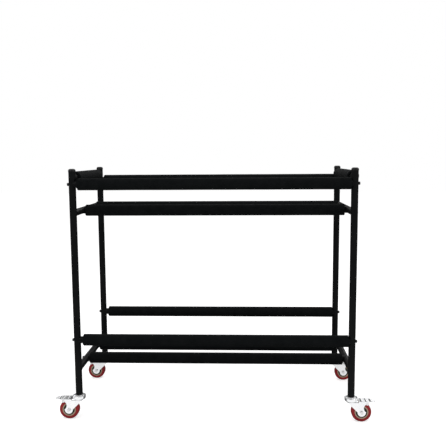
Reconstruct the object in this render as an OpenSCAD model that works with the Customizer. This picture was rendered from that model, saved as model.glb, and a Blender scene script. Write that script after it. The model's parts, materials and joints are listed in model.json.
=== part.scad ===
// Two-tier rolling rack. Each tier is a cradle of four foam-sleeved rails:
// two rest rails below, two guard rails higher up at front and back.
// The rack stands on the XY plane with its middle at the origin.
// X runs along the rails, -Y is the front and Z is up.

/* [Frame] */
// Distance between the post centres, left to right
rack_w = 880; // [700:5:1100]
// Distance between the post centres, front to back
rack_d = 360; // [330:5:420]
// Outside diameter of every frame tube
tube_od = 22.2; // [20:0.1:25]
// Wall of every frame tube
tube_wall = 1.5; // [1.2:0.1:2]
// Height of the lower rest rails' centres above the posts' lower ends
lower_rest_up = 86.3; // [75:0.1:140]
// Height of the lower guard rails above the lower rest rails
lower_rise = 96; // [85:1:110]
// Height of the upper rest rails above the lower rest rails
tier_pitch = 506; // [440:2:600]
// Height of the upper guard rails above the upper rest rails
upper_rise = 91; // [85:1:110]
// Distance between the two rest rails of a tier
rest_spread = 142; // [120:2:170]
// Height of the top bars above the upper guard rails
top_bar_rise = 21; // [18:1:35]
// Length of post above the top bars
post_head = 7; // [4:1:20]
// Gap between a shaped tube end and the tube it meets
cope_gap = 0.2; // [0.1:0.05:0.4]

/* [Foam sleeves] */
// Outside diameter of the foam sleeves
foam_od = 38; // [34:1:42]
// Gap between the foam and the tube inside it
foam_fit = 0.3; // [0.1:0.05:0.4]
// Rounding of the sleeves' ends
foam_round = 5; // [2:0.5:6]
// Bare rail at each end of the lower guard rails
lower_bare = 5.2; // [3:0.1:15]
// Bare rail at each end of the upper guard rails
upper_bare = 3.2; // [3:0.1:15]
// Bare rail at each end of the rest rails
rest_bare = 1.5; // [1:0.1:15]
// Share of its bare rail that a sleeve has slid, guard sleeves to the right and rest sleeves to the left
foam_slip = 0.8; // [0:0.1:0.8]
// Gap between the top bars' foam and the guard rails' foam
foam_clear = 12; // [0.5:0.5:30]

/* [Post caps] */
// Diameter of the caps' rims
cap_d = 23.4; // [22.8:0.1:27]
// Height of the caps' straight sides
cap_rim_t = 3.5; // [1:0.5:4]
// Rounding of the caps' upper edges
cap_round = 6; // [3:0.5:8]
// Depth of the plugs inside the posts
cap_plug_l = 16; // [10:1:25]
// Wall of the plugs
cap_plug_wall = 2; // [1.5:0.5:3]

/* [Rail fastenings] */
// Diameter of the bolts' shanks
bolt_d = 6; // [5:0.5:8]
// Diameter of the bolts' heads
bolt_head_d = 10; // [9:0.5:14]
// Height of the bolts' heads
bolt_head_h = 5.2; // [4:0.1:6]
// Rounding of the bolts' heads
bolt_head_round = 1.5; // [0.5:0.1:2]
// Width across the flats of the hexagon sockets
bolt_key = 4; // [3:0.5:5]
// Depth of the hexagon sockets
bolt_key_depth = 2.5; // [1:0.1:3]
// Length of bolt that reaches past the post
bolt_grip = 20; // [14:1:24]
// Gap between a bolt and its holes
bolt_clear = 0.25; // [0.1:0.05:0.4]
// Length of the threaded inserts in the rails' ends
insert_l = 25; // [20:1:35]
// Distance that the inserts are set in behind the posts
insert_set = 2; // [1:0.5:4]
// Gap between an insert and the tube around it
insert_fit = 0.1; // [0.05:0.05:0.2]

/* [Caster swivels] */
// Distance that the wheels trail behind the swivels
trail = 32.5; // [28:0.5:38]
// Gap between the wheel and the plate above it
crown_gap = 2; // [1:0.5:4]
// Thickness of the forks' top plates
crown_t = 2.5; // [2:0.1:4]
// Thickness of the forks' legs
leg_t = 2; // [1.5:0.1:3]
// Gap between the wheel and each leg
leg_gap = 1.4; // [1:0.1:3]
// Radius of the legs' round lower ends
leg_end_r = 13; // [11:0.5:15]
// Distance of the legs' slanted inner edges from the axles
leg_waist = 8.5; // [7.5:0.5:10]
// Slope of the legs' inner edges
leg_slope = 45; // [42:1:50]
// Rounding of the bends between top plate and legs
leg_bend_r = 4.5; // [3:0.5:6]
// Radius of the notches in the legs' outer edges
notch_r = 15; // [12:0.5:18]
// Distance of the notches' centres outward from the axles
notch_out = 21.5; // [20:0.5:32]
// Height of the notches' centres above the axles
notch_up = 14.5; // [6:0.5:16]
// Outside diameter of the swivel cups
cup_d = 41; // [38:0.5:44]
// Wall of the swivel cups
cup_wall = 2; // [1.5:0.1:2.5]
// Height of the swivel cups above the top plates
cup_h = 9.5; // [8:0.5:16]
// Rounding of the swivel cups' lower edges
cup_round = 5; // [3:0.5:5]
// Number of balls in a swivel
ball_n = 12; // [8:1:14]
// Diameter of the balls
ball_d = 5; // [4:0.1:5]
// Gap between the balls and the plates above and below them
ball_gap = 0.1; // [0.05:0.05:0.2]
// Radius of the ring of balls
ball_ring_r = 12.5; // [11:0.5:13]
// Thickness of the stems' race plates
race_t = 3; // [1.5:0.1:4]
// Radius of the stems' race plates
race_r = 15; // [14.5:0.1:15.5]
// Diameter of the stems
stem_d = 10; // [8:0.5:12]
// Length of stem inside the leg inserts
stem_grip = 25; // [18:1:28]
// Radial running gap between stem and fork
stem_run = 0.05; // [0.02:0.01:0.1]
// Diameter of the stems' riveted heads
stem_head_d = 14; // [13:0.5:15]
// Thickness of the stems' riveted heads
stem_head_t = 3.3; // [2:0.1:4]
// Gap between the riveted heads and the top plates
stem_head_gap = 0.3; // [0.1:0.1:0.5]
// Thickness of the leg inserts' flanges
leg_flange_t = 4; // [1:0.5:5]
// Length of the leg inserts inside the posts
leg_insert_l = 30; // [30:1:45]
// Gap between the stems and the leg inserts
stem_fit = 0.1; // [0.05:0.05:0.2]

/* [Caster wheels] */
// Diameter of the wheels
wheel_d = 63.5; // [58:0.5:75]
// Width of the wheels
wheel_w = 21; // [18:0.5:26]
// Thickness of the treads
tread_t = 10; // [6:0.5:11]
// Rounding of the treads' edges
tread_round = 3.5; // [1:0.5:5]
// Gap between tread and rim
tread_fit = 0.05; // [0.02:0.01:0.1]
// Thickness of the rims
rim_t = 3.5; // [2.5:0.5:5]
// Thickness of the webs between hub and rim
web_t = 7; // [4:0.5:10]
// Diameter of the hubs
hub_d = 20; // [17:0.5:22]
// Gap between each end of the hub and the leg beside it
hub_gap = 0.5; // [0.3:0.1:0.9]
// Thickness of the thread guards
guard_t = 1.5; // [1:0.1:2]
// Distance that the thread guards are set in from the rims' faces
guard_set = 1; // [0.5:0.1:2]
// Gap between the thread guards and the rim and hub
guard_fit = 0.1; // [0.05:0.05:0.2]
// Diameter of the axle bolts
axle_d = 6; // [6:0.5:8]
// Outside diameter of the axle sleeves
sleeve_d = 12; // [11:0.5:14]
// Radial running gap between axle sleeve and hub
sleeve_run = 0.05; // [0.02:0.01:0.1]
// Gap between the axle parts and what they pass through
axle_fit = 0.1; // [0.05:0.05:0.2]
// Width across the flats of the axle bolts' heads and nuts
nut_flats = 10; // [10:0.5:14]
// Thickness of the axle bolts' heads and nuts
nut_t = 5; // [4:0.5:8]
// Length of axle bolt that shows past the nut
axle_tail = 1.5; // [1:0.5:4]

/* [Brake pedals] */
// Thickness of the pedals' sheet
pedal_t = 1.8; // [1.4:0.1:2.5]
// Gap between the pedals' sides and the legs
pedal_side_gap = 0.4; // [0.3:0.1:1]
// Gap between the treads and the pedals' sheets
pedal_up = 3; // [2.6:0.1:4]
// Gap between the legs' upper edges and the pedals' sheets
pedal_leg_gap = 0.4; // [0.3:0.1:0.6]
// Distance that the forks' top plates reach past the swivel cups
crown_lip = 0.5; // [0.2:0.1:1]
// Gap between the swivel cups and the pedals
pedal_cup_gap = 2; // [1.5:0.5:4]
// Distance of the ends of the pedals' straight sides from the swivels
pedal_out = 57; // [55:0.5:60]
// Length of the pedals' toes past the straight sides
pedal_toe_l = 20; // [18:0.5:30]
// Radius of the pedals' round toes
pedal_toe_r = 12; // [8:0.5:14]
// Depth of the pedals' side flanges below the top of the sheet
pedal_flange_h = 4.5; // [3.5:0.5:6]
// Angle of the pedal pins from straight above the axles
pin_angle = 30; // [29:1:33]
// Height of the pedal pins above the treads
pin_up = 3.2; // [3:0.1:3.5]
// Diameter of the pedal pins
pin_d = 4; // [3:0.5:4.5]
// Radial running gap between pedal and pin
pin_run = 0.05; // [0.02:0.01:0.1]
// Diameter of the pedal pins' heads
pin_head_d = 7; // [6:0.5:9]
// Thickness of the pedal pins' heads
pin_head_t = 1.2; // [1:0.1:2]
// Gap between the pedals and the pins' heads
pin_head_gap = 0.3; // [0.3:0.1:0.6]
// Radius of the pedals' ears around the pins
ear_r = 4.8; // [4:0.1:5.5]
// Gap between the brake tabs and the treads
brake_gap = 2.1; // [2:0.1:2.6]
// Thickness of the brake tabs
brake_t = 2.5; // [2:0.1:3.5]
// Width of the brake tabs
brake_w = 17; // [12:0.5:18]
// Distance of the brake tabs outward from the pins
brake_out = 4.5; // [4:0.1:4.5]
// Distance of the toe ribs from the pedals' tips
toe_rib_in = 15; // [14:0.5:18]
// Radius of the toe ribs
toe_rib_r = 12; // [10:0.5:12.5]
// Height of the toe ribs above the sheet
toe_rib_h = 1.2; // [0.8:0.1:1.3]
// Length of the toe ribs
toe_rib_l = 22; // [16:1:22]
// Number of smaller ribs across the pedals
rib_n = 2; // [1:1:2]
// Distance between the ribs
rib_pitch = 15; // [12:0.5:15]
// Radius of the smaller ribs
rib_r = 8; // [6:0.5:9]
// Height of the smaller ribs above the sheet
rib_h = 0.8; // [0.6:0.1:1]
// Length of the smaller ribs
rib_l = 26; // [16:1:26]

/* [Hidden] */
$fn = 64;
tube_r = tube_od / 2;
tube_ir = tube_r - tube_wall;
foam_r = foam_od / 2;
foam_ir = tube_r + foam_fit;
foam_edge = min(foam_round, foam_r - foam_ir - 1);
post_x = rack_w / 2;
post_y = rack_d / 2;
rest_y = rest_spread / 2;

wheel_r = wheel_d / 2;
axle_z = wheel_r;
crown_z = wheel_d + crown_gap;
crown_top = crown_z + crown_t;
race_z = crown_top + ball_d + 2 * ball_gap;
flange_z = race_z + race_t;
post_bottom = flange_z + leg_flange_t;

lower_rest_z = post_bottom + lower_rest_up;
upper_rest_z = lower_rest_z + tier_pitch;
lower_guard_z = lower_rest_z + lower_rise;
upper_guard_z = upper_rest_z + upper_rise;
top_bar_z = upper_guard_z + top_bar_rise;
post_top = top_bar_z + tube_r + post_head;

inner_x = post_x - tube_r;
// Name, place along Y and Z, bare length at each end, and direction of the foam's slip, for each rail
RAILS = [
    ["upper_front_guard", -post_y, upper_guard_z, upper_bare, 1],
    ["upper_rear_guard", post_y, upper_guard_z, upper_bare, 1],
    ["upper_front_rest", -rest_y, upper_rest_z, rest_bare, -1],
    ["upper_rear_rest", rest_y, upper_rest_z, rest_bare, -1],
    ["lower_front_guard", -post_y, lower_guard_z, lower_bare, 1],
    ["lower_rear_guard", post_y, lower_guard_z, lower_bare, 1],
    ["lower_front_rest", -rest_y, lower_rest_z, rest_bare, -1],
    ["lower_rear_rest", rest_y, lower_rest_z, rest_bare, -1]
];
GUARD_HEIGHTS = [lower_guard_z, upper_guard_z];
// Name, and sides along X and Y, of each corner
CORNERS = [
    ["front_left", -1, -1],
    ["front_right", 1, -1],
    ["rear_left", -1, 1],
    ["rear_right", 1, 1]
];
SIDES = [["left", -1], ["right", 1]];

inner_half = wheel_w / 2 + leg_gap;
outer_half = inner_half + leg_t;
hub_half = inner_half - hub_gap;
rim_r = wheel_r - tread_t;
rim_ir = rim_r - rim_t;
pin_reach = wheel_r + pin_up;
pin_x = trail + pin_reach * sin(pin_angle);
pin_z = axle_z + pin_reach * cos(pin_angle);
leg_foot = [trail - leg_waist * sin(leg_slope), axle_z - leg_waist * cos(leg_slope)];
leg_in = (crown_top - leg_foot[1]) / tan(leg_slope) - leg_foot[0];
cup_r = cup_d / 2;
pedal_z = wheel_d + pedal_up;
pedal_top = pedal_z + pedal_t;
pedal_in = cup_r + pedal_cup_gap;
leg_top = pedal_z - pedal_leg_gap;
leg_ear_r = leg_top - pin_z;
leg_out = pin_x + leg_ear_r;
crown_out = cup_r + crown_lip;
pedal_inner_half = outer_half + pedal_side_gap;
pedal_outer_half = pedal_inner_half + pedal_t;
toe_end = pedal_out + pedal_toe_l;
brake_x = pin_x + brake_out;
eps = 0.01;

powder_black = [0.10, 0.10, 0.11];
foam_black = [0.07, 0.08, 0.08];
plastic_black = [0.05, 0.05, 0.05];
chrome = [0.85, 0.86, 0.88];
zinc = [0.62, 0.63, 0.64];
tread_red = [0.60, 0.06, 0.08];
core_tan = [0.72, 0.60, 0.48];
guard_dark = [0.10, 0.12, 0.10];

// Points a cylinder along X, from x0 to x1
module rod_x(x0, x1, r) {
    translate([x0, 0, 0]) rotate([0, 90, 0]) cylinder(h = x1 - x0, r = r);
}

// Points a cylinder along Y, centred on the origin
module rod_y(l, r) {
    rotate([90, 0, 0]) cylinder(h = l, r = r, center = true);
}

// Stands a side view of the given width on edge, with its middle on the XZ plane
module across(w) {
    translate([0, w / 2, 0]) rotate([90, 0, 0]) linear_extrude(w) children();
}

// Stands what follows at a caster, with outward along +X
module at_caster(c) {
    translate([c[1] * post_x, c[2] * post_y, 0])
        rotate([0, 0, c[1] < 0 ? 180 : 0]) children();
}

// Repeats what follows at both ends of all rails, with outward along +X
module at_rail_ends() {
    for (r = RAILS)
        for (turn = [0, 180])
            translate([0, r[1], r[2]]) rotate([0, 0, turn]) children();
}

module post(c) {
    color(powder_black)
    translate([c[1] * post_x, c[2] * post_y, 0])
    difference() {
        translate([0, 0, post_bottom]) cylinder(h = post_top - post_bottom, r = tube_r);
        translate([0, 0, post_bottom - 1]) cylinder(h = post_top - post_bottom + 2, r = tube_ir);
        for (z = GUARD_HEIGHTS)
            translate([0, 0, z]) rod_x(-tube_od, tube_od, bolt_d / 2 + bolt_clear);
    }
}

// A bar from post to post, front to back, with holes for the rest rails if it carries them
module depth_bar(side, z, carries_rails) {
    color(powder_black)
    difference() {
        translate([side * post_x, 0, z]) rod_y(rack_d, tube_r);
        translate([side * post_x, 0, z]) rod_y(rack_d + 2, tube_ir);
        for (y = [-post_y, post_y])
            translate([side * post_x, y, z - tube_od])
                cylinder(h = 2 * tube_od, r = tube_r + cope_gap);
        if (carries_rails)
            for (y = [-rest_y, rest_y])
                translate([side * post_x, y, z]) rod_x(-tube_od, tube_od, bolt_d / 2 + bolt_clear);
    }
}

// A guard rail's ends are shaped to the posts
module guard_rail(r) {
    color(powder_black)
    difference() {
        translate([0, r[1], r[2]]) rod_x(-post_x, post_x, tube_r);
        translate([0, r[1], r[2]]) rod_x(-post_x - 1, post_x + 1, tube_ir);
        for (x = [-post_x, post_x])
            translate([x, r[1], r[2] - tube_od]) cylinder(h = 2 * tube_od, r = tube_r + cope_gap);
    }
}

// A rest rail's ends are shaped to the depth bars
module rest_rail(r) {
    color(powder_black)
    difference() {
        translate([0, r[1], r[2]]) rod_x(-post_x, post_x, tube_r);
        translate([0, r[1], r[2]]) rod_x(-post_x - 1, post_x + 1, tube_ir);
        for (x = [-post_x, post_x])
            translate([x, r[1], r[2]]) rod_y(2 * tube_od, tube_r + cope_gap);
    }
}

// A sleeve with round shoulders, turned round the Z axis
module sleeve(half_l) {
    rotate_extrude()
    difference() {
        union() {
            translate([0, foam_edge - half_l]) square([foam_r, 2 * (half_l - foam_edge)]);
            translate([0, -half_l]) square([foam_r - foam_edge, 2 * half_l]);
            for (s = [-1, 1])
                translate([foam_r - foam_edge, s * (half_l - foam_edge)]) circle(r = foam_edge);
        }
        translate([0, -half_l - 1]) square([foam_ir, 2 * half_l + 2]);
    }
}

module rail_foam(r) {
    color(foam_black)
    translate([r[4] * foam_slip * r[3], r[1], r[2]]) rotate([0, 90, 0]) sleeve(inner_x - r[3]);
}

module top_foam(side) {
    color(foam_black)
    translate([side * post_x, 0, top_bar_z]) rotate([90, 0, 0]) sleeve(post_y - foam_r - foam_clear);
}

// Half the side view of a round head with a rounded upper edge
module head_side(r, h, edge) {
    intersection() {
        union() {
            square([r, h - edge]);
            square([r - edge, h]);
            translate([r - edge, h - edge]) circle(r = edge);
        }
        square([r, h]);
    }
}

// Plug and rounded top, with the top's underside on the post's end
module post_cap() {
    plug_r = tube_ir - insert_fit;
    rotate_extrude() {
        head_side(cap_d / 2, cap_rim_t + cap_round, cap_round);
        translate([plug_r - cap_plug_wall, -cap_plug_l]) square([cap_plug_wall, cap_plug_l + eps]);
    }
}

module post_caps() {
    color(plastic_black)
    for (c = CORNERS)
        translate([c[1] * post_x, c[2] * post_y, post_top]) post_cap();
}

// A bolt along +X, with the underside of its head on the tube's side
module rail_bolt() {
    shank_l = tube_od + bolt_grip;
    translate([post_x + tube_r, 0, 0]) rotate([0, 90, 0])
    difference() {
        rotate_extrude() {
            head_side(bolt_head_d / 2, bolt_head_h, bolt_head_round);
            translate([0, -shank_l]) square([bolt_d / 2, shank_l + eps]);
        }
        translate([0, 0, bolt_head_h - bolt_key_depth])
            cylinder(h = bolt_head_h, r = bolt_key / sqrt(3), $fn = 6);
    }
}

module rail_bolts() {
    color(plastic_black) at_rail_ends() rail_bolt();
}

module rail_inserts() {
    color(plastic_black)
    at_rail_ends()
    difference() {
        rod_x(inner_x - insert_set - insert_l, inner_x - insert_set, tube_ir - insert_fit);
        rod_x(inner_x - insert_set - insert_l - 1, inner_x, bolt_d / 2 + insert_fit);
    }
}

module leg_inserts() {
    color(zinc)
    for (c = CORNERS)
        at_caster(c)
        difference() {
            union() {
                translate([0, 0, flange_z]) cylinder(h = leg_flange_t, r = tube_r);
                translate([0, 0, flange_z]) cylinder(h = leg_flange_t + leg_insert_l, r = tube_ir - insert_fit);
            }
            translate([0, 0, flange_z - 1])
                cylinder(h = leg_flange_t + leg_insert_l + 2, r = stem_d / 2 + stem_fit);
        }
}

// Stem, race plate and riveted head are one piece
module caster_stems() {
    color(zinc)
    for (c = CORNERS)
        at_caster(c) {
            head_z = crown_z - stem_head_gap - stem_head_t;
            translate([0, 0, head_z]) cylinder(h = stem_head_t, r = stem_head_d / 2);
            translate([0, 0, head_z]) cylinder(h = post_bottom + stem_grip - head_z, r = stem_d / 2);
            translate([0, 0, race_z]) cylinder(h = race_t, r = race_r);
        }
}

module swivel_balls() {
    color(chrome)
    for (c = CORNERS)
        at_caster(c)
        for (i = [0 : ball_n - 1])
            rotate([0, 0, i * 360 / ball_n])
                translate([ball_ring_r, 0, crown_top + ball_gap + ball_d / 2]) sphere(d = ball_d);
}

// Where a line from p touches the circle of radius r round c, on the side s
function touch(p, c, r, s) =
    let (d = p - c, a = atan2(d[1], d[0]) + s * acos(r / norm(d)))
    c + r * [cos(a), sin(a)];

// Side view of a fork: X is outward and Y is up
module fork_side() {
    axle = [trail, axle_z];
    low_out = [leg_out, pin_z];
    difference() {
        union() {
            polygon([
                [-leg_in, crown_top], [crown_out, crown_top], [crown_out, leg_top], [pin_x, leg_top], low_out,
                touch(low_out, axle, leg_end_r, -1), leg_foot
            ]);
            translate(axle) circle(r = leg_end_r);
        }
        translate(axle + [notch_out, notch_up]) circle(r = notch_r);
        translate(axle) circle(r = axle_d / 2 + axle_fit);
    }
}

// Cross-section of a fork's top plate and legs: X is across and Y is up
module fork_section() {
    difference() {
        union() {
            translate([-outer_half, 0]) square([2 * outer_half, crown_top - leg_bend_r]);
            translate([leg_bend_r - outer_half, 0]) square([2 * (outer_half - leg_bend_r), crown_top]);
            for (s = [-1, 1])
                translate([s * (outer_half - leg_bend_r), crown_top - leg_bend_r]) circle(r = leg_bend_r);
        }
        translate([-inner_half, -1]) square([2 * inner_half, crown_z + 1]);
    }
}

// A dish round the balls, open at the top
module swivel_cup() {
    flat_r = cup_r - cup_round;
    rotate_extrude()
    difference() {
        union() {
            translate([0, crown_z]) square([flat_r, crown_t + cup_h]);
            translate([0, crown_z + cup_round]) square([cup_r, crown_t + cup_h - cup_round]);
            translate([flat_r, crown_z + cup_round]) circle(r = cup_round);
        }
        translate([0, crown_top]) square([cup_r - cup_wall, cup_h + 1]);
    }
}

module fork() {
    color(chrome)
    difference() {
        union() {
            intersection() {
                across(2 * outer_half + 2) fork_side();
                translate([-leg_in - 1, 0, 0]) rotate([90, 0, 90])
                    linear_extrude(leg_out + leg_in + 2) fork_section();
            }
            swivel_cup();
            // The legs' ears round the pedal pin
            for (s = [-1, 1])
                translate([0, s * (inner_half + leg_t / 2), 0])
                    across(leg_t) translate([pin_x, pin_z]) circle(r = leg_ear_r);
        }
        translate([pin_x, 0, pin_z]) rod_y(2 * outer_half + 2, pin_d / 2 + axle_fit);
        // The top plate stops just past the cup, where the pedal begins
        translate([crown_out, -inner_half, crown_z - 1])
            cube([leg_out, 2 * inner_half, crown_t + 2]);
        // The swivel's hole and the room for its balls
        translate([0, 0, crown_z - 1]) cylinder(h = crown_t + 2, r = stem_d / 2 + stem_run);
        translate([0, 0, crown_top]) cylinder(h = cup_h + 1, r = cup_r - cup_wall);
    }
}

// Axle bolt, nut, sleeve and pedal pin
module axle() {
    nut_r = nut_flats / sqrt(3);
    seat = outer_half + axle_fit;
    color(zinc) {
        translate([trail, 0, axle_z]) {
            translate([0, (nut_t + axle_tail) / 2, 0]) rod_y(2 * seat + nut_t + axle_tail, axle_d / 2);
            translate([0, -seat, 0]) rotate([90, 0, 0]) cylinder(h = nut_t, r = nut_r, $fn = 6);
            difference() {
                translate([0, seat, 0]) rotate([-90, 0, 0]) cylinder(h = nut_t, r = nut_r, $fn = 6);
                rod_y(4 * outer_half, axle_d / 2 + axle_fit);
            }
            difference() {
                rod_y(2 * (inner_half - axle_fit), sleeve_d / 2);
                rod_y(4 * outer_half, axle_d / 2 + axle_fit);
            }
        }
        translate([pin_x, 0, pin_z]) {
            rod_y(2 * (pedal_outer_half + pin_head_gap + pin_head_t), pin_d / 2);
            for (s = [-1, 1])
                translate([0, s * (pedal_outer_half + pin_head_gap + pin_head_t / 2), 0])
                    rod_y(pin_head_t, pin_head_d / 2);
        }
    }
}

// Rim, web and hub turned about the axle
module wheel_core() {
    color(core_tan)
    translate([trail, 0, axle_z]) rotate([90, 0, 0])
    rotate_extrude() {
        translate([rim_ir, -wheel_w / 2]) square([rim_t - tread_fit, wheel_w]);
        translate([hub_d / 2 - 1, -web_t / 2]) square([rim_ir - hub_d / 2 + 2, web_t]);
        translate([sleeve_d / 2 + sleeve_run, -hub_half]) square([(hub_d - sleeve_d) / 2 - sleeve_run, 2 * hub_half]);
    }
}

module thread_guards() {
    color(guard_dark)
    translate([trail, 0, axle_z])
    for (s = [-1, 1])
        translate([0, s * (wheel_w / 2 - guard_set - guard_t / 2), 0])
        difference() {
            rod_y(guard_t, rim_ir - guard_fit);
            rod_y(guard_t + 2, hub_d / 2 + guard_fit);
        }
}

// A ring of tyre with round edges
module tread() {
    edge = min(tread_round, tread_t - 1);
    color(tread_red)
    translate([trail, 0, axle_z]) rotate([90, 0, 0])
    rotate_extrude($fn = 96) {
        translate([rim_r, -wheel_w / 2]) square([tread_t - edge, wheel_w]);
        translate([rim_r, edge - wheel_w / 2]) square([tread_t, wheel_w - 2 * edge]);
        for (s = [-1, 1])
            translate([wheel_r - edge, s * (wheel_w / 2 - edge)]) circle(r = edge);
    }
}

// Plan of the pedal's top sheet: X is outward
module pedal_plan() {
    toe_x = toe_end - pedal_toe_r;
    translate([pedal_in, -pedal_outer_half]) square([pedal_out - pedal_in, 2 * pedal_outer_half]);
    polygon([
        [pedal_out - eps, -pedal_outer_half], [toe_x, -pedal_toe_r],
        [toe_x, pedal_toe_r], [pedal_out - eps, pedal_outer_half]
    ]);
    translate([toe_x, 0]) circle(r = pedal_toe_r);
}

// Side view of one flange with the ear round the pin: X is outward and Y is up
module pedal_flange_side() {
    difference() {
        union() {
            translate([pedal_in, pedal_top - pedal_flange_h]) square([pedal_out - pedal_in, pedal_flange_h]);
            translate([pin_x, pin_z]) circle(r = ear_r);
        }
        translate([pin_x, pin_z]) circle(r = pin_d / 2 + pin_run);
    }
}

// Side view of the brake tab, whose lower end follows the tread
module brake_tab_side() {
    difference() {
        translate([brake_x, axle_z]) square([brake_t, pedal_z + pedal_t / 2 - axle_z]);
        translate([trail, axle_z]) circle(r = wheel_r + brake_gap);
    }
}

// Side view of a rib, whose lower part is in the sheet
module rib_side(r, h) {
    intersection() {
        translate([0, h - r]) circle(r = r);
        translate([-r, -pedal_t / 2]) square([2 * r, pedal_t / 2 + h + 1]);
    }
}

module pedal() {
    color(chrome) {
        translate([0, 0, pedal_z]) linear_extrude(pedal_t) pedal_plan();
        for (s = [-1, 1])
            translate([0, s * (pedal_inner_half + pedal_t / 2), 0]) across(pedal_t) pedal_flange_side();
        across(brake_w) brake_tab_side();
        across(toe_rib_l) translate([toe_end - toe_rib_in, pedal_top]) rib_side(toe_rib_r, toe_rib_h);
        for (i = [1 : rib_n])
            across(rib_l)
                translate([toe_end - toe_rib_in - i * rib_pitch, pedal_top]) rib_side(rib_r, rib_h);
    }
}

for (c = CORNERS)
    post(c);
for (s = SIDES) {
    depth_bar(s[1], top_bar_z, false);
    depth_bar(s[1], upper_rest_z, true);
    depth_bar(s[1], lower_rest_z, true);
    top_foam(s[1]);
}
for (r = RAILS) {
    guard = abs(r[1]) == post_y;
    union() {
        if (guard) guard_rail(r);
        else rest_rail(r);
    }
    rail_foam(r);
}
post_caps();
rail_bolts();
rail_inserts();
leg_inserts();
caster_stems();
swivel_balls();
for (c = CORNERS) {
    at_caster(c) fork();
    at_caster(c) axle();
    at_caster(c) pedal();
    at_caster(c) wheel_core();
    at_caster(c) thread_guards();
    at_caster(c) tread();
}
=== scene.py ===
# %% [markdown]
# A rolling two-tier storage rack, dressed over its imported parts.
# Two black side frames of welded tube carry two cradles, and each cradle is
# four straight rails in foam sleeves. Four chrome casters with red wheels
# stand under the posts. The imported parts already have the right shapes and
# places, so this script adds what they lack: soft foam, weld beads, softened
# edges on the pressed sheet, moulded treads, finishes, light and a camera.

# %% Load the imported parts
import json
import math

import bmesh
import bpy
import numpy as np
from mathutils import Matrix, Vector

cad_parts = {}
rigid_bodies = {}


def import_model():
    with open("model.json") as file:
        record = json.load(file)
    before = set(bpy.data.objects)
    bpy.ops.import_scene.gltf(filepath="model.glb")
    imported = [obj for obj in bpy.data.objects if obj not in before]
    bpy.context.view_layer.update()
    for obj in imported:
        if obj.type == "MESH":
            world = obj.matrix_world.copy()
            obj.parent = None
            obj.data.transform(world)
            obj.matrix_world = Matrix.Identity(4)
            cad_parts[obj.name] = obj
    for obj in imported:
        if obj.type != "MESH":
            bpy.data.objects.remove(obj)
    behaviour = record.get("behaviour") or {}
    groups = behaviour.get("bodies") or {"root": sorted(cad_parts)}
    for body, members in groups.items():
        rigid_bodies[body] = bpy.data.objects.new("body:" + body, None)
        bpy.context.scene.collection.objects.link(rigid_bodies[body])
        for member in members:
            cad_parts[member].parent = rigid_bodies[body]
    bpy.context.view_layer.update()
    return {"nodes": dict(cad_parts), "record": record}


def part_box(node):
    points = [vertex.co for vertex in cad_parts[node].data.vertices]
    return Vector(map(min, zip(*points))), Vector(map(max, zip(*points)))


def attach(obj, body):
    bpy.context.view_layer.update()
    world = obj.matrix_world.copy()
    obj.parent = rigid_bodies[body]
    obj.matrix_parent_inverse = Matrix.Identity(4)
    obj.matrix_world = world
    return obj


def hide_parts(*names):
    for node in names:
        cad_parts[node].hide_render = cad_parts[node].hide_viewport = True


for leftover in list(bpy.data.objects):
    bpy.data.objects.remove(leftover)

MM = 0.001
FULL_TURN = 2 * math.pi
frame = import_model()
body_of_node = {}
for body, members in frame["record"]["behaviour"]["bodies"].items():
    for member in members:
        body_of_node[member] = body

# %% [markdown]
# The camera stands where the photograph was taken from: a little right of
# the middle, two metres in front, at the height of the top rails, and tilted
# down by six degrees. One could aim it with a Track To constraint, but a
# matrix built from the three angles, in radians, also keeps the small roll.

# %% Place the camera
IMAGE_PX = 446
FOCAL_PX = 596.7
SENSOR_MM = 36.0
CLIP_NEAR = 0.05
CLIP_FAR = 60.0
EYE = Vector((0.1030, -2.0349, 0.8475))
YAW = -0.0380
PITCH = -0.1109
ROLL = -0.0061

level_forward = Vector((math.sin(YAW), math.cos(YAW), 0.0))
forward = math.cos(PITCH) * level_forward + math.sin(PITCH) * Vector((0.0, 0.0, 1.0))
level_right = Vector((math.cos(YAW), -math.sin(YAW), 0.0))
level_up = level_right.cross(forward)
right = math.cos(ROLL) * level_right + math.sin(ROLL) * level_up
up = math.cos(ROLL) * level_up - math.sin(ROLL) * level_right

camera = bpy.data.objects.new("camera", bpy.data.cameras.new("camera"))
bpy.context.scene.collection.objects.link(camera)
camera.data.sensor_width = SENSOR_MM
camera.data.lens = SENSOR_MM * FOCAL_PX / IMAGE_PX
camera.data.clip_start = CLIP_NEAR
camera.data.clip_end = CLIP_FAR
axes = Matrix((right, up, -forward)).transposed().to_4x4()
camera.matrix_world = Matrix.Translation(EYE) @ axes
bpy.context.scene.camera = camera
print("lens:", round(camera.data.lens, 2), "mm")

# %% [markdown]
# Shader nodes are many small steps, so a few helpers place a node, wire it
# and hand back its result. A value may be another node's result or a number.


# %% Write helpers for shader nodes
def add(nodes, kind, **values):
    """Adds a shader node and sets its own properties."""
    made = nodes.new(kind)
    for key, value in values.items():
        setattr(made, key, value)
    return made


def feed(tree, socket, value):
    """Wires a result into an input, or sets the input to a plain value."""
    if isinstance(value, bpy.types.NodeSocket):
        tree.links.new(value, socket)
    else:
        socket.default_value = value


def combine(tree, operation, first, second=0.0):
    """The result of a Math node on one or two values."""
    step = add(tree.nodes, "ShaderNodeMath", operation=operation)
    feed(tree, step.inputs[0], first)
    feed(tree, step.inputs[1], second)
    return step.outputs[0]


def ramp(tree, value, low, high):
    """A straight ramp: low where the value is 0, high where it is 1."""
    step = add(tree.nodes, "ShaderNodeMapRange")
    feed(tree, step.inputs["Value"], value)
    feed(tree, step.inputs["To Min"], low)
    feed(tree, step.inputs["To Max"], high)
    return step.outputs["Result"]


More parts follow.
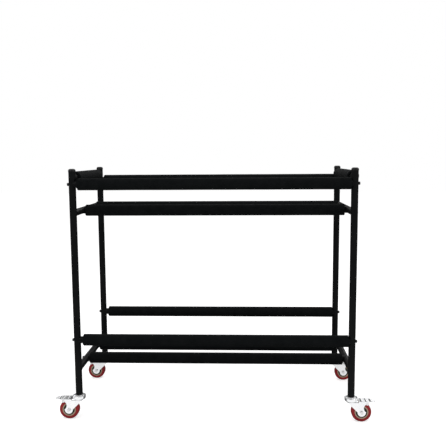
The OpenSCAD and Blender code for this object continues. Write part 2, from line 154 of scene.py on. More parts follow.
def fade(tree, value, start, stop, low=0.0, high=1.0):
    """A smooth step: low where the value is at start, high where it is at stop."""
    step = add(tree.nodes, "ShaderNodeMapRange", interpolation_type="SMOOTHSTEP")
    limits = {"Value": value, "From Min": start, "From Max": stop, "To Min": low, "To Max": high}
    for label, given in limits.items():
        feed(tree, step.inputs[label], given)
    return step.outputs["Result"]


def split_axes(tree, vector):
    """The X, Y and Z results of a vector."""
    parts = add(tree.nodes, "ShaderNodeSeparateXYZ")
    tree.links.new(vector, parts.inputs[0])
    return tuple(parts.outputs)


def choose(tree, factor, usual, special):
    """The usual shader where the factor is 0 and the special one where it is 1."""
    mix = add(tree.nodes, "ShaderNodeMixShader")
    for socket, value in zip(mix.inputs, (factor, usual, special)):
        tree.links.new(value, socket)
    return mix.outputs[0]


# %% [markdown]
# The light is that of a white studio. A pale floor and a pale world could be
# made bright with strong lamps, but those would wash out the black tubes.
# Instead the world and the floor only turn pure white for the camera's own
# rays, while the lamps stay at a plain level. Chrome needs something dark to
# reflect as well. So the reflected world is two tall white screens behind the
# rack with a dark strip between them, which draws the dark marks on the
# pedals' ribs. The screens dim towards the horizon and towards the front, and
# a white ceiling hangs above.

# %% Build the world
FILL_STRENGTH = 0.66
STRIP_LEVEL = 0.08
SCREEN_LEVEL = 1.05
STRIP_SHIFT = 0.06
STRIP_EDGE = (0.20, 0.26)
BEHIND = (-0.25, 0.35)
FRONT_SHARE = 0.34
HORIZON = (0.10, 0.22)
HORIZON_SHARE = 0.15
CEILING = (0.55, 0.85)

scene = bpy.context.scene
scene.view_settings.view_transform = "Standard"


def build_world():
    """White for the camera, a plain fill for light, and screens for reflections.

    The level of the reflected world is worked out from the direction (x, y, z) of the ray.
    """
    world = bpy.data.worlds.new("studio")
    scene.world = world
    world.use_nodes = True
    tree = world.node_tree
    tree.nodes.clear()
    direction = add(tree.nodes, "ShaderNodeTexCoord")
    x, y, z = split_axes(tree, direction.outputs["Generated"])
    behind = fade(tree, y, *BEHIND, FRONT_SHARE)
    raised = fade(tree, z, *HORIZON, HORIZON_SHARE)
    ceiling = fade(tree, z, *CEILING)
    sideways = combine(tree, "ABSOLUTE", combine(tree, "ADD", x, STRIP_SHIFT))
    screens = fade(tree, sideways, *STRIP_EDGE)
    standing = combine(tree, "MULTIPLY", combine(tree, "MULTIPLY", behind, screens), raised)
    white_share = combine(tree, "MAXIMUM", standing, ceiling)
    levels = {
        "fill": FILL_STRENGTH,
        "shine": ramp(tree, white_share, STRIP_LEVEL, SCREEN_LEVEL),
        "white": 1.0,
    }
    shaders = {}
    for name, level in levels.items():
        light = add(tree.nodes, "ShaderNodeBackground", label=name)
        light.inputs["Color"].default_value = (1, 1, 1, 1)
        feed(tree, light.inputs["Strength"], level)
        shaders[name] = light.outputs[0]
    path = add(tree.nodes, "ShaderNodeLightPath")
    seen = choose(tree, path.outputs["Is Glossy Ray"], shaders["fill"], shaders["shine"])
    seen = choose(tree, path.outputs["Is Camera Ray"], seen, shaders["white"])
    out = add(tree.nodes, "ShaderNodeOutputWorld")
    tree.links.new(seen, out.inputs["Surface"])


build_world()
print("world:", scene.world.name)

# %% [markdown]
# Three large softboxes light the rack: a key from the front left, a weaker
# fill from the right and one from behind that draws a soft line on the tubes.


# %% Hang the softboxes
def add_lamp(name, place, target, size, watts):
    """A square softbox that faces a point."""
    lamp = bpy.data.objects.new(name, bpy.data.lights.new(name, "AREA"))
    scene.collection.objects.link(lamp)
    lamp.data.size = size
    lamp.data.energy = watts
    lamp.location = place
    facing = Vector(target) - Vector(place)
    lamp.rotation_euler = facing.to_track_quat("-Z", "Y").to_euler()


add_lamp("key_softbox", place=(-1.9, -2.0, 2.6), target=(0, 0, 0.4), size=1.6, watts=24)
add_lamp("fill_softbox", place=(2.4, -1.4, 1.8), target=(0, 0, 0.4), size=1.4, watts=14)
add_lamp("back_softbox", place=(0.3, 2.4, 2.4), target=(0, 0, 0.5), size=1.8, watts=18)
print("lamps:", len(bpy.data.lights))

# %% [markdown]
# The floor is painted pale and takes the rack's shadow, and for the camera it
# is lifted to white. Light that bounces off it would brighten the black tubes
# from below. So all rays but the camera's find painted shade under the rack:
# the paint is dark there, where little light gets in. Its places follow from the posts.

# %% Paint the floor
FLOOR_LIFT = 0.52
FLOOR_PAINT = 0.86
PAINTED_UNDER_SHADE = 0.12

right_post_low, right_post_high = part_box("front_right_post")
POST_X = (right_post_low[0] + right_post_high[0]) / 2
POST_Y = -(right_post_low[1] + right_post_high[1]) / 2
PALE_BESIDE = (POST_X, POST_X + 0.16)
PALE_BEFORE = (POST_Y - 0.04, POST_Y + 0.14)
print("posts at:", round(POST_X, 4), round(POST_Y, 4))


def floor_paint(tree, is_camera, across, along):
    """Pale for the camera, and for other rays painted shade under the rack, with a glow for the
    camera.
    """
    clear = combine(
        tree, "MAXIMUM", fade(tree, across, *PALE_BESIDE), fade(tree, along, *PALE_BEFORE)
    )
    # Painted shade: for all rays but the camera's the paint is dark under the rack.
    shade = add(tree.nodes, "ShaderNodeMix", data_type="FLOAT")
    feed(tree, shade.inputs["Factor"], is_camera)
    feed(tree, shade.inputs["A"], ramp(tree, clear, PAINTED_UNDER_SHADE, FLOOR_PAINT))
    feed(tree, shade.inputs["B"], FLOOR_PAINT)
    paint = add(tree.nodes, "ShaderNodeBsdfDiffuse")
    tree.links.new(shade.outputs["Result"], paint.inputs["Color"])
    lift = add(tree.nodes, "ShaderNodeEmission")
    feed(tree, lift.inputs["Strength"], combine(tree, "MULTIPLY", is_camera, FLOOR_LIFT))
    both = add(tree.nodes, "ShaderNodeAddShader")
    tree.links.new(paint.outputs[0], both.inputs[0])
    tree.links.new(lift.outputs[0], both.inputs[1])
    return both.outputs[0]


# %% [markdown]
# Mirrors see the floor in their own way: for them alone it glows as a painted
# reflection, bright in front of the rack and beside the rear casters, dark with
# painted shade under the rack, and fading out a metre away.
# One could paint such patches on the floor itself, but then the camera would
# see them too. They give the chrome its grey shading.

# %% Show mirrors their own floor
SWEEP_LEVEL = 1.00
UNDER_LEVEL = 0.12
SWEEP_REACH = (0.75, 1.35)
SWEEP_END = 0.06
BRIGHT_FRONT = (0.04 - POST_Y, -0.08 - POST_Y)
PATCH_LEVEL = 0.8
PATCH_START = (-0.06, 0.00)
PATCH_STOP = (POST_Y + 0.18, POST_Y + 0.06)
PATCH_SIDE = (POST_X - 0.06, POST_X + 0.02)


def floor_glow(tree, y, across, reach):
    """Bright before the rack and beside its rear casters, dark elsewhere, fading with reach."""
    depth = combine(tree, "MULTIPLY", fade(tree, y, *PATCH_START), fade(tree, y, *PATCH_STOP))
    patch = combine(tree, "MULTIPLY", depth, fade(tree, across, *PATCH_SIDE, 0.0, PATCH_LEVEL))
    bright = combine(tree, "MAXIMUM", fade(tree, y, *BRIGHT_FRONT), patch)
    level = ramp(tree, bright, UNDER_LEVEL, SWEEP_LEVEL)
    ends = fade(tree, reach, *SWEEP_REACH, 1.0, SWEEP_END)
    glow = add(tree.nodes, "ShaderNodeEmission")
    feed(tree, glow.inputs["Strength"], combine(tree, "MULTIPLY", level, ends))
    return glow.outputs[0]


# %% [markdown]
# The floor itself is one large square.

# %% Lay the floor
FLOOR_HALF = 12.0


def build_floor():
    """A wide plane with its paint, and its own look for mirrors."""
    mesh = bpy.data.meshes.new("floor")
    corners = np.array([[-1, -1, 0], [1, -1, 0], [1, 1, 0], [-1, 1, 0]], float) * FLOOR_HALF
    mesh.from_pydata(corners.tolist(), [], [(0, 1, 2, 3)])
    floor = bpy.data.objects.new("floor", mesh)
    scene.collection.objects.link(floor)
    material = bpy.data.materials.new("pale_floor")
    material.use_nodes = True
    tree = material.node_tree
    tree.nodes.clear()
    path = add(tree.nodes, "ShaderNodeLightPath")
    place = add(tree.nodes, "ShaderNodeTexCoord").outputs["Object"]
    x, y, _ = split_axes(tree, place)
    across = combine(tree, "ABSOLUTE", x)
    along = combine(tree, "ABSOLUTE", y)
    reach = add(tree.nodes, "ShaderNodeVectorMath", operation="LENGTH")
    tree.links.new(place, reach.inputs[0])
    paint = floor_paint(tree, path.outputs["Is Camera Ray"], across, along)
    glow = floor_glow(tree, y, across, reach.outputs["Value"])
    seen = choose(tree, path.outputs["Is Glossy Ray"], paint, glow)
    out = add(tree.nodes, "ShaderNodeOutputMaterial")
    tree.links.new(seen, out.inputs["Surface"])
    mesh.materials.append(material)
    return floor


floor = build_floor()
print("floor:", floor.name, round(2 * FLOOR_HALF, 1), "m wide")

# %% [markdown]
# Every finish here is a mix of the same few effects: a fine grain that only
# bends the light, and a broad mottle that shifts colour and roughness by a
# little. Each effect is one node group with its own inputs, so a finish is a
# plain shader with constant sockets plus these groups at its own scale.


# %% Start a shader group
def new_group(name, inputs, outputs):
    """An empty shader group with float inputs (name, default) and float outputs."""
    group = bpy.data.node_groups.new(name, "ShaderNodeTree")
    for label, default in inputs:
        socket = group.interface.new_socket(label, in_out="INPUT", socket_type="NodeSocketFloat")
        socket.default_value = default
    for label in outputs:
        group.interface.new_socket(label, in_out="OUTPUT", socket_type="NodeSocketFloat")
    return group, group.nodes.new("NodeGroupInput"), group.nodes.new("NodeGroupOutput")


# %% [markdown]
# The mottle is soft broad noise, like the cloudy look of paint and moulded
# plastic up close. Noise stays near its middle, so its middle part is spread
# over the whole range from Low to High.

# %% Build the mottle
MOTTLE_DETAIL = 5.0
MOTTLE_ROUGHNESS = 0.6
MOTTLE_SPAN = (0.32, 0.68)


def build_mottle():
    """Broad noise on Object coordinates, spread between Low and High."""
    group, given, result = new_group(
        "broad_mottle", [("Scale", 30.0), ("Low", 0.0), ("High", 1.0)], ["Value"]
    )
    place = add(group.nodes, "ShaderNodeTexCoord")
    noise = add(group.nodes, "ShaderNodeTexNoise")
    noise.inputs["Detail"].default_value = MOTTLE_DETAIL
    noise.inputs["Roughness"].default_value = MOTTLE_ROUGHNESS
    feed(group, noise.inputs["Vector"], place.outputs["Object"])
    feed(group, noise.inputs["Scale"], given.outputs["Scale"])
    spread = add(group.nodes, "ShaderNodeMapRange")
    spread.inputs["From Min"].default_value = MOTTLE_SPAN[0]
    spread.inputs["From Max"].default_value = MOTTLE_SPAN[1]
    feed(group, spread.inputs["Value"], noise.outputs[0])
    feed(group, spread.inputs["To Min"], given.outputs["Low"])
    feed(group, spread.inputs["To Max"], given.outputs["High"])
    feed(group, result.inputs["Value"], spread.outputs["Result"])
    return group


MOTTLE = build_mottle()
print("mottle inputs:", [item.name for item in MOTTLE.interface.items_tree])

# %% [markdown]
# The grain is a height for a Bump node: fine noise for the orange peel of
# paint, and small cells for the pits of foam. Cells sets the share of each.

# %% Build the grain
GRAIN_DETAIL = 3.0


def build_grain():
    """Fine noise plus small cells on Object coordinates, as a height for a Bump node."""
    group, given, result = new_group(
        "fine_grain", [("Scale", 900.0), ("Cells", 0.4)], ["Height"]
    )
    place = add(group.nodes, "ShaderNodeTexCoord")
    noise = add(group.nodes, "ShaderNodeTexNoise")
    noise.inputs["Detail"].default_value = GRAIN_DETAIL
    cells = add(group.nodes, "ShaderNodeTexVoronoi")
    for texture in (noise, cells):
        feed(group, texture.inputs["Vector"], place.outputs["Object"])
        feed(group, texture.inputs["Scale"], given.outputs["Scale"])
    mix = add(group.nodes, "ShaderNodeMix", data_type="FLOAT")
    feed(group, mix.inputs["Factor"], given.outputs["Cells"])
    feed(group, mix.inputs["A"], noise.outputs[0])
    feed(group, mix.inputs["B"], cells.outputs["Distance"])
    feed(group, result.inputs["Height"], mix.outputs["Result"])
    return group


GRAIN = build_grain()
print("grain inputs:", [item.name for item in GRAIN.interface.items_tree])

# %% [markdown]
# A finish runs from a dark to a light colour by the mottle, and its roughness
# runs over a range by a finer mottle. The three colour sockets of a Mix node
# share their names with its other kinds, so they are called by their places.

# %% Write a helper for finishes
COLOUR_A = 6
COLOUR_B = 7
COLOUR_RESULT = 2
DULL_SCALE = 2.7


def use(nodes, group, **values):
    """Places a shared group in a material with its own values."""
    made = nodes.new("ShaderNodeGroup")
    made.node_tree = group
    for key, value in values.items():
        made.inputs[key].default_value = value
    return made


def finish_of(name, dark, light, rough, mottle, grain, cells, bump, depth, **sockets):
    """A shader with a mottled colour and roughness and a fine grain.

    The colour runs from dark to light and the roughness over the range rough. mottle and grain
    are scales per metre, cells is the share of cells in the grain, bump is the Bump strength and
    depth its distance in metres. Any further names are sockets of the shader.
    """
    material = bpy.data.materials.new(name)
    material.use_nodes = True
    nodes, links = material.node_tree.nodes, material.node_tree.links
    shader = nodes["Principled BSDF"]
    for key, value in sockets.items():
        shader.inputs[key.replace("_", " ")].default_value = value
    tint = use(nodes, MOTTLE, Scale=mottle, Low=0.0, High=1.0)
    colour = add(nodes, "ShaderNodeMix", data_type="RGBA")
    colour.inputs[COLOUR_A].default_value = (*dark, 1)
    colour.inputs[COLOUR_B].default_value = (*light, 1)
    links.new(tint.outputs[0], colour.inputs["Factor"])
    links.new(colour.outputs[COLOUR_RESULT], shader.inputs["Base Color"])
    dull = use(nodes, MOTTLE, Scale=mottle * DULL_SCALE, Low=rough[0], High=rough[1])
    links.new(dull.outputs[0], shader.inputs["Roughness"])
    height = use(nodes, GRAIN, Scale=grain, Cells=cells)
    relief = add(nodes, "ShaderNodeBump")
    relief.inputs["Strength"].default_value = bump
    relief.inputs["Distance"].default_value = depth
    links.new(height.outputs[0], relief.inputs["Height"])
    links.new(relief.outputs[0], shader.inputs["Normal"])
    return material


# %% [markdown]
# The tubes are steel under a satin black powder coat. Fresh powder flows into
# a faint orange peel as it is baked, so the grain is about a millimetre wide
# and very shallow. The foam is duller and has a finer, pitted skin. The caps
# and the inserts in the rails are moulded plastic, and the bolts that hold the
# rails are black oxide steel.

# %% Mix the black finishes
powder_coat = finish_of(
    "satin_black_powder_coat",
    dark=(0.0056, 0.0060, 0.0064), light=(0.0086, 0.0090, 0.0094), rough=(0.30, 0.42),
    mottle=22, grain=900, cells=0.25, bump=0.22, depth=0.2 * MM, Specular_IOR_Level=0.05,
)
foam_skin = finish_of(
    "matte_foam_skin",
    dark=(0.0032, 0.0040, 0.0044), light=(0.0056, 0.0064, 0.0069), rough=(0.80, 0.95),
    mottle=38, grain=1500, cells=0.75, bump=0.45, depth=0.3 * MM, Specular_IOR_Level=0.06,
)
black_plastic = finish_of(
    "moulded_black_plastic",
    dark=(0.0062, 0.0062, 0.0064), light=(0.0096, 0.0096, 0.0098), rough=(0.38, 0.52),
    mottle=60, grain=1400, cells=0.35, bump=0.20, depth=0.2 * MM, Specular_IOR_Level=0.30,
)
black_steel = finish_of(
    "black_oxide_steel",
    dark=(0.0100, 0.0100, 0.0110), light=(0.0240, 0.0235, 0.0235), rough=(0.28, 0.42),
    mottle=120, grain=1100, cells=0.20, bump=0.15, depth=0.1 * MM, Specular_IOR_Level=0.40,
)
print("black finishes:", powder_coat.name, foam_skin.name, black_plastic.name, black_steel.name)

# %% [markdown]
# The forks and pedals are pressed sheet under bright chrome plate. The axle
# bolts, the stems and their inserts are zinc plated, and the bearing balls are
# polished. All are metals, so the base colour is the colour of the reflection
# and the mottle stays slight.

# %% Mix the metal finishes
chrome_plate = finish_of(
    "bright_chrome_plate",
    dark=(0.90, 0.91, 0.93), light=(0.96, 0.965, 0.97), rough=(0.06, 0.14),
    mottle=45, grain=500, cells=0.10, bump=0.10, depth=0.2 * MM, Metallic=1.0,
)
zinc_plate = finish_of(
    "bright_zinc_plate",
    dark=(0.90, 0.90, 0.91), light=(0.95, 0.95, 0.95), rough=(0.42, 0.54),
    mottle=140, grain=1300, cells=0.20, bump=0.15, depth=0.1 * MM, Metallic=1.0,
)
polished_ball = finish_of(
    "polished_ball_steel",
    dark=(0.74, 0.75, 0.77), light=(0.82, 0.83, 0.84), rough=(0.04, 0.08),
    mottle=200, grain=900, cells=0.10, bump=0.03, depth=0.1 * MM, Metallic=1.0,
)
print("metal finishes:", chrome_plate.name, zinc_plate.name, polished_ball.name)

# %% [markdown]
# The wheels have three stuffs: a tan nylon core, dark plastic discs in its
# sides, and a cast tread in deep red. The discs sit in a recess, and their
# near-black colour is partly the plastic's own and partly painted shade of that
# recess. The first two are plain finishes.

# %% Mix the wheels' plastics
core_nylon = finish_of(
    "tan_nylon_core",
    dark=(0.40, 0.29, 0.20), light=(0.50, 0.38, 0.27), rough=(0.40, 0.55),
    mottle=90, grain=1200, cells=0.30, bump=0.20, depth=0.2 * MM, Specular_IOR_Level=0.4,
)
# Near-black side discs: partly dark plastic, partly painted shade of the recess they sit in.
guard_plastic = finish_of(
    "dark_side_disc_and_recess_shade",
    dark=(0.014, 0.018, 0.011), light=(0.024, 0.029, 0.019), rough=(0.42, 0.58),
    mottle=80, grain=1300, cells=0.30, bump=0.20, depth=0.2 * MM, Specular_IOR_Level=0.3,
)
print("wheel plastics:", core_nylon.name, guard_plastic.name)

# %% [markdown]
# The tread's running face is paler along slanting stripes. They turn with the
# wheel, so they read the tread's own UV map, where U is the turn round the
# axle and V runs across the face.

# %% Mix the tread's finish
MARKS_ROUND = 46.0
MARKS_SLANT = 2.2
MARK_HALF_PITCH = 0.5
MARK_EDGE = (0.34, 0.48)
MARK_STRENGTH = 0.60
FACE_MIDDLE = 0.5
FACE_EDGE = (0.38, 0.30)
PALE_MARK = (0.66, 0.080, 0.070, 1)


def build_tread_finish():
    """Red cast tread. Waves of turn plus slant times width give the marks, on its face only."""
    material = finish_of(
        "red_cast_tread",
        dark=(0.235, 0.0055, 0.0085), light=(0.33, 0.0085, 0.012), rough=(0.36, 0.50),
        mottle=60, grain=1000, cells=0.25, bump=0.18, depth=0.2 * MM, Specular_IOR_Level=0.35,
    )
    tree = material.node_tree
    shader = tree.nodes["Principled BSDF"]
    base = shader.inputs["Base Color"].links[0].from_socket
    uv = add(tree.nodes, "ShaderNodeUVMap", uv_map="around")
    u, v, _ = split_axes(tree, uv.outputs[0])
    turn = combine(tree, "MULTIPLY", u, MARKS_ROUND)
    slanted = combine(tree, "ADD", combine(tree, "MULTIPLY", v, MARKS_SLANT), turn)
    wave = combine(tree, "PINGPONG", slanted, MARK_HALF_PITCH)
    off_middle = combine(tree, "ABSOLUTE", combine(tree, "SUBTRACT", v, FACE_MIDDLE))
    line = fade(tree, wave, *MARK_EDGE, 0.0, MARK_STRENGTH)
    amount = combine(tree, "MULTIPLY", line, fade(tree, off_middle, *FACE_EDGE))
    marked = add(tree.nodes, "ShaderNodeMix", data_type="RGBA")
    marked.inputs[COLOUR_B].default_value = PALE_MARK
    tree.links.new(amount, marked.inputs["Factor"])
    tree.links.new(base, marked.inputs[COLOUR_A])
    tree.links.new(marked.outputs[COLOUR_RESULT], shader.inputs["Base Color"])
    return material


red_tread = build_tread_finish()
print("tread finish:", red_tread.name)

# %% [markdown]
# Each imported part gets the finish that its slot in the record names, so one
# table dresses all of them.

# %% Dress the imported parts
FINISHES = {
    "powder_coat": powder_coat,
    "foam": foam_skin,
    "black_plastic": black_plastic,
    "black_steel": black_steel,
    "zinc_steel": zinc_plate,
    "ball_steel": polished_ball,
    "chrome_plate": chrome_plate,
    "core_nylon": core_nylon,
    "guard_plastic": guard_plastic,
    "red_tread": red_tread,
}
slot_of = {row["node"]: row["material_slot"] for row in frame["record"]["subparts"]}


def dress(obj, slot):
    """Gives every material place of an object the finish of a slot."""
    if not obj.data.materials:
        obj.data.materials.append(None)
    for i in range(len(obj.data.materials)):
        obj.data.materials[i] = FINISHES[slot]


for node, obj in frame["nodes"].items():
    dress(obj, slot_of[node])
print("dressed:", len(frame["nodes"]))

# %% [markdown]
# New surfaces are grids of points worked out as whole arrays: one direction
# of the grid goes round, the other along. Where both directions close on
# themselves the grid is a ring with no seam and no pole.


# %% Turn a grid of points into a piece
def ring_piece(name, points, body, slot, around=None):
    """A mesh from an (m, n, 3) grid of points that closes in both directions, smooth shaded.

    around is an optional (m + 1, n + 1, 2) grid of UV values for the corners of the faces.
    """
    m, n = points.shape[:2]
    i, j = np.meshgrid(np.arange(m), np.arange(n), indexing="ij")
    i_next, j_next = (i + 1) % m, (j + 1) % n
    faces = np.stack([i * n + j, i_next * n + j, i_next * n + j_next, i * n + j_next], axis=-1)
    mesh = bpy.data.meshes.new(name)
    mesh.from_pydata(points.reshape(-1, 3).tolist(), [], faces.reshape(-1, 4).tolist())
    if around is not None:
        corners = (around[:-1, :-1], around[1:, :-1], around[1:, 1:], around[:-1, 1:])
        layer = mesh.uv_layers.new(name="around")
        layer.data.foreach_set("uv", np.stack(corners, axis=2).astype(np.float32).ravel())
    build = bmesh.new()
    build.from_mesh(mesh)
    bmesh.ops.recalc_face_normals(build, faces=build.faces)
    build.to_mesh(mesh)
    build.free()
    mesh.shade_smooth()
    piece = bpy.data.objects.new(name, mesh)
    scene.collection.objects.link(piece)
    dress(piece, slot)
    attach(piece, body)
    return piece


# %% [markdown]
# The pieces below need the same few sums: angles once round a ring, vectors
# brought to length one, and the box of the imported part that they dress.


# %% Write helpers for shapes
def circle(steps):
    """Angles once round, without the last one, which would repeat the first."""
    return np.linspace(0, FULL_TURN, steps, endpoint=False)


def unit(vectors):
    """Each vector of an array at length one."""
    return vectors / np.linalg.norm(vectors, axis=-1, keepdims=True)


def box_of(node):
    """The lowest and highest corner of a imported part, as arrays."""
    low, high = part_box(node)
    return np.array(low), np.array(high)


# %% [markdown]
# Sleeves and treads share one kind of outline: the rectangle of their wall,
# with a round arc at each corner and stations along the outer side.

# %% Draw a rounded wall
ARC_STEPS = 9


def rounded_loop(corners, radii):
    """A closed outline with round corners: at each corner an arc of the given radius.

    The arc swings about a centre on the corner's bisector, from one tangent point to the other.
    """
    corners = np.asarray(corners, float)
    before = unit(np.roll(corners, 1, axis=0) - corners)
    after = unit(np.roll(corners, -1, axis=0) - corners)
    radii = np.asarray(radii, float)[:, None]
    half = 0.5 * np.arccos(np.clip((before * after).sum(1), -1, 1))[:, None]
    centre = corners + unit(before + after) * radii / np.sin(half)
    start = corners + before * radii / np.tan(half) - centre
    stop = corners + after * radii / np.tan(half) - centre
    share = np.linspace(0.0, 1.0, ARC_STEPS)[None, :, None]
    sweep = (math.pi - 2.0 * half)[:, None, :]
    from_start = np.sin((1 - share) * sweep) * start[:, None]
    from_stop = np.sin(share * sweep) * stop[:, None]
    return (centre[:, None] + (from_start + from_stop) / np.sin(sweep)).reshape(-1, 2)


def wall_outline(half, inner, outer, radii, stations):
    """A wall from -half to half between two radii, with stations on its outer side.

    Points are (place along, radius). radii belong to the corners at the near bore, the near
    shoulder, the far shoulder and the far bore.
    """
    corners = [(-half, inner), (-half, outer), (half, outer), (half, inner)]
    loop = rounded_loop(corners, radii)
    side = np.stack([stations, np.full_like(stations, outer)], axis=1)
    return np.concatenate([loop[: 2 * ARC_STEPS], side, loop[2 * ARC_STEPS :]])


# %% [markdown]
# A foam sleeve is a thick soft pipe pushed over the rail. A plain tube would
# look like hard plastic, so its outer wall is a little uneven and its
# shoulders are round. Where a sleeve has slid up against the right post, that
# end is pressed flat and its edge stays sharper. It is a closed ring: the
# outline of the wall, carried round the rail.

# %% Make the foam sleeves
SLEEVE_TURNS = 72
SLEEVE_STATIONS = 60
STATION_MARGIN = 1.5
SHOULDER_R = 3.0 * MM
PRESSED_R = 0.6 * MM
PRESSED_GAP = 3.0 * MM
BORE_EDGE_R = 0.8 * MM
BORE_SHARE = 0.6
UNEVEN = 0.16 * MM
WAVE_LENGTHS = (0.31, 0.23, 0.17, 0.12)
SEED = 7
rng = np.random.default_rng(SEED)


def slow_waves(s, a):
    """The mean of waves along the sleeve by s that go 0, 1, 2 and 3 times round it by a."""
    total = np.zeros(np.broadcast(s, a).shape)
    for lobes, length in enumerate(WAVE_LENGTHS):
        shift = rng.uniform(0, FULL_TURN, 2)
        total += np.cos(lobes * a + shift[0]) * np.cos(FULL_TURN * s / length + shift[1])
    return total / len(WAVE_LENGTHS)


def foam_sleeve(node):
    """A foam tube in the space of a packed sleeve, along its longest side.

    Radius and place along the rail come from a rounded outline of the wall, and the outer wall
    moves in and out by a sum of slow waves round and along the sleeve.
    """
    low, high = box_of(node)
    size, middle = high - low, (low + high) / 2
    along = int(np.argmax(size))
    across = [k for k in range(3) if k != along]
    half = size[along] / 2
    outer = size[across].min() / 2 - UNEVEN
    inner = outer * BORE_SHARE
    pressed = along == 0 and right_post_low[0] - high[0] < PRESSED_GAP
    radii = (BORE_EDGE_R, SHOULDER_R, PRESSED_R if pressed else SHOULDER_R, BORE_EDGE_R)
    last = half - SHOULDER_R * STATION_MARGIN
    outline = wall_outline(half, inner, outer, radii, np.linspace(-last, last, SLEEVE_STATIONS))
    s, wall, a = outline[None, :, 0], outline[None, :, 1], circle(SLEEVE_TURNS)[:, None]
    softness = np.clip((wall - inner) / (outer - inner), 0, 1)
    radius = wall + UNEVEN * slow_waves(s, a) * softness
    points = np.zeros((SLEEVE_TURNS, len(outline), 3))
    points[:, :, along] = middle[along] + s
    points[:, :, across[0]] = middle[across[0]] + radius * np.cos(a)
    points[:, :, across[1]] = middle[across[1]] + radius * np.sin(a)
    piece = ring_piece(node.replace("_foam", "_sleeve"), points, body_of_node[node], "foam")
    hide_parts(node)
    return piece


sleeves = [foam_sleeve(node) for node in sorted(slot_of) if slot_of[node] == "foam"]
print("foam sleeves:", len(sleeves))

# %% [markdown]
# The bars are welded to the posts. Two tubes of the same size that cross at a
# right angle meet along a saddle: a point of it that lies some way above or
# below the bar's axis lies just as far out from the post's axis, along the
# bar. A bead of weld is a thin round rope along that saddle, with small
# ripples, and it thins out at the sides, where the two walls run into each
# other. A Boolean could find the saddle too, but the formula gives an even
# path to carry the rope along.

# %% Weld the bars to the posts
BEAD_R = 1.9 * MM
BEAD_THIN = 0.35
BEAD_RIPPLES = 44
RIPPLE_DEPTH = 0.10
SADDLE_SOFTNESS = 0.004
BEAD_STEPS = 176
BEAD_ROUND = 10


def weld_bead(bar, post):
    """A closed bead along the saddle between a bar that runs along Y and an upright post.

    At turn t the saddle lies cos(t) beside, sin(t) above and |sin(t)| towards the bar from the
    crossing of the two axes, times the tube's radius. |sin(t)| is taken as the root of its
    square plus a little, so that the bead has no kink at the sides.
    """
    bar_low, bar_high = box_of(bar)
    post_low, post_high = box_of(post)
    tube_r = (post_high[0] - post_low[0]) / 2
    x, y = (post_low[:2] + post_high[:2]) / 2
    z = (bar_low[2] + bar_high[2]) / 2
    inward = -math.copysign(1.0, y)
    t = circle(BEAD_STEPS)
    side, rise, level = np.cos(t), np.sin(t), np.zeros(BEAD_STEPS)
    back = inward * np.sqrt(rise**2 + SADDLE_SOFTNESS)
    path = np.array([x, y, z]) + tube_r * np.stack([side, back, rise], axis=1)
    from_bar = np.stack([side, level, rise], axis=1)
    from_post = np.stack([side, back, level], axis=1)
    tangent = unit(np.roll(path, -1, axis=0) - np.roll(path, 1, axis=0))
    sideways = unit(np.cross(tangent, unit(from_bar + from_post)))
    outward = np.cross(sideways, tangent)
    thickness = BEAD_THIN + (1 - BEAD_THIN) * np.abs(rise)
    radius = BEAD_R * thickness * (1 + RIPPLE_DEPTH * np.cos(BEAD_RIPPLES * t))
    a = circle(BEAD_ROUND)[None, :, None]
    around = np.cos(a) * outward[:, None] + np.sin(a) * sideways[:, None]
    points = path[:, None] + radius[:, None, None] * around
    return ring_piece(f"weld_{bar}_{post.split('_')[0]}", points, body_of_node[bar], "powder_coat")


welds = []
for hand in ("left", "right"):
    for bar in ("top_bar", "upper_bar", "lower_bar"):
        for row in ("front", "rear"):
            welds.append(weld_bead(f"{hand}_{bar}", f"{row}_{hand}_post"))
print("weld beads:", len(welds))

# %% [markdown]
# Sheet that has been pressed and plated has no sharp edge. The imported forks
# and pedals are exact but sharp, so a copy of each is merged, given a narrow
# bevel where faces meet at an angle, and shown in its place.

# %% Soften the pressed parts
EDGE_R = 0.45 * MM
EDGE_STEPS = 2
SHARP = math.radians(32)
FLAT = math.radians(1.0)
MERGE = 0.005 * MM
CORNERS = [f"{row}_{hand}" for row in ("front", "rear") for hand in ("left", "right")]


def softened(node):
    """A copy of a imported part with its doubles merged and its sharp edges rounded."""
    mesh = frame["nodes"][node].data.copy()
    mesh.name = f"{node}_soft"
    build = bmesh.new()
    build.from_mesh(mesh)
    bmesh.ops.remove_doubles(build, verts=build.verts, dist=MERGE)
    bmesh.ops.dissolve_limit(build, angle_limit=FLAT, verts=build.verts, edges=build.edges)
    build.to_mesh(mesh)
    build.free()
    mesh.shade_smooth()
    piece = bpy.data.objects.new(f"{node}_soft", mesh)
    scene.collection.objects.link(piece)
    bevel = piece.modifiers.new("edges", "BEVEL")
    bevel.width = EDGE_R
    bevel.segments = EDGE_STEPS
    bevel.limit_method = "ANGLE"
    bevel.angle_limit = SHARP
    bevel.use_clamp_overlap = True
    piece.modifiers.new("facing", "WEIGHTED_NORMAL").keep_sharp = False
    dress(piece, slot_of[node])
    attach(piece, body_of_node[node])
    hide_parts(node)
    return piece


pressed_parts = []
for corner in CORNERS:
    pressed_parts.append(softened(f"{corner}_fork"))
    pressed_parts.append(softened(f"{corner}_pedal"))
print("softened parts:", len(pressed_parts))

# %% [markdown]
# The rim of a swivel cup is rolled over into a smooth bead. It is a plain
# ring: a small circle carried round the swivel's axis, a little flattened.

# %% Roll the cups' rims
RIM_R = 1.5 * MM
RIM_INSET = 1.0 * MM
RIM_DROP = 0.3 * MM
RIM_FLATTEN = 0.8
RIM_TURNS = 96
RIM_ROUND = 14


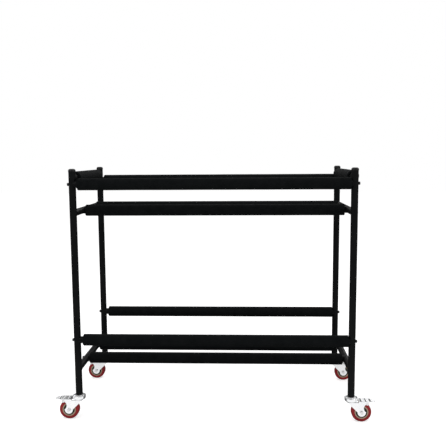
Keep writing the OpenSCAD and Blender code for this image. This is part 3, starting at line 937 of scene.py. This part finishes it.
def rolled_rim(corner):
    """A ring on the cup's upper edge: radius R + r cos(b) and height r sin(b) as b goes round.

    The cup is the fork's highest part, is as wide as the fork and is centred on its post.
    """
    post_low, post_high = box_of(f"{corner}_post")
    fork_low, fork_high = box_of(f"{corner}_fork")
    centre = (post_low + post_high) / 2
    cup_r = (fork_high[1] - fork_low[1]) / 2
    turn, b = circle(RIM_TURNS)[:, None], circle(RIM_ROUND)[None, :]
    radius = cup_r - RIM_INSET + RIM_R * np.cos(b)
    points = np.zeros((RIM_TURNS, RIM_ROUND, 3))
    points[:, :, 0] = centre[0] + radius * np.cos(turn)
    points[:, :, 1] = centre[1] + radius * np.sin(turn)
    points[:, :, 2] = fork_high[2] - RIM_DROP + RIM_R * RIM_FLATTEN * np.sin(b)
    return ring_piece(f"{corner}_cup_rim", points, body_of_node[f"{corner}_fork"], "chrome_plate")


rims = [rolled_rim(corner) for corner in CORNERS]
print("cup rims:", len(rims))

# %% [markdown]
# A tread is a ring of cast plastic with round edges and a slightly crowned
# running face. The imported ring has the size, and this one adds the crown and
# the UV map that the slanting marks follow.

# %% Cast the treads
TREAD_TURNS = 120
TREAD_WALL = 10.0 * MM
TREAD_EDGE_R = 3.5 * MM
TREAD_BORE_R = 0.4 * MM
FACE_MARGIN = 4.2 * MM
FACE_STATIONS = 9
CROWN = 0.35 * MM
CROWN_DEPTH = 2.0 * MM


def cast_tread(corner):
    """A ring round the axle, which runs along Y, from a rounded outline with a crowned face.

    The face sinks by the crown times the square of its share of the half width.
    """
    low, high = box_of(f"{corner}_tread")
    middle = (low + high) / 2
    outer = (high[2] - low[2]) / 2
    half = (high[1] - low[1]) / 2
    radii = (TREAD_BORE_R, TREAD_EDGE_R, TREAD_EDGE_R, TREAD_BORE_R)
    stations = np.linspace(-half + FACE_MARGIN, half - FACE_MARGIN, FACE_STATIONS)
    loop = wall_outline(half, outer - TREAD_WALL, outer, radii, stations)
    width, wall = loop[:, 0], loop[:, 1]
    sag = CROWN * (width / half) ** 2 * (wall > outer - CROWN_DEPTH)
    turn, radius = circle(TREAD_TURNS)[:, None], (wall - sag)[None, :]
    points = np.zeros((TREAD_TURNS, len(loop), 3))
    points[:, :, 0] = middle[0] + radius * np.cos(turn)
    points[:, :, 1] = middle[1] + width[None, :]
    points[:, :, 2] = middle[2] + radius * np.sin(turn)
    u = np.linspace(0, 1, TREAD_TURNS + 1)[:, None]
    v = np.append(width, width[0])[None, :] / (2 * half) + FACE_MIDDLE
    around = np.stack(np.broadcast_arrays(u, v), axis=-1)
    body = body_of_node[f"{corner}_tread"]
    piece = ring_piece(f"{corner}_cast_tread", points, body, "red_tread", around)
    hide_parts(f"{corner}_tread")
    return piece


treads = [cast_tread(corner) for corner in CORNERS]
print("cast treads:", len(treads))
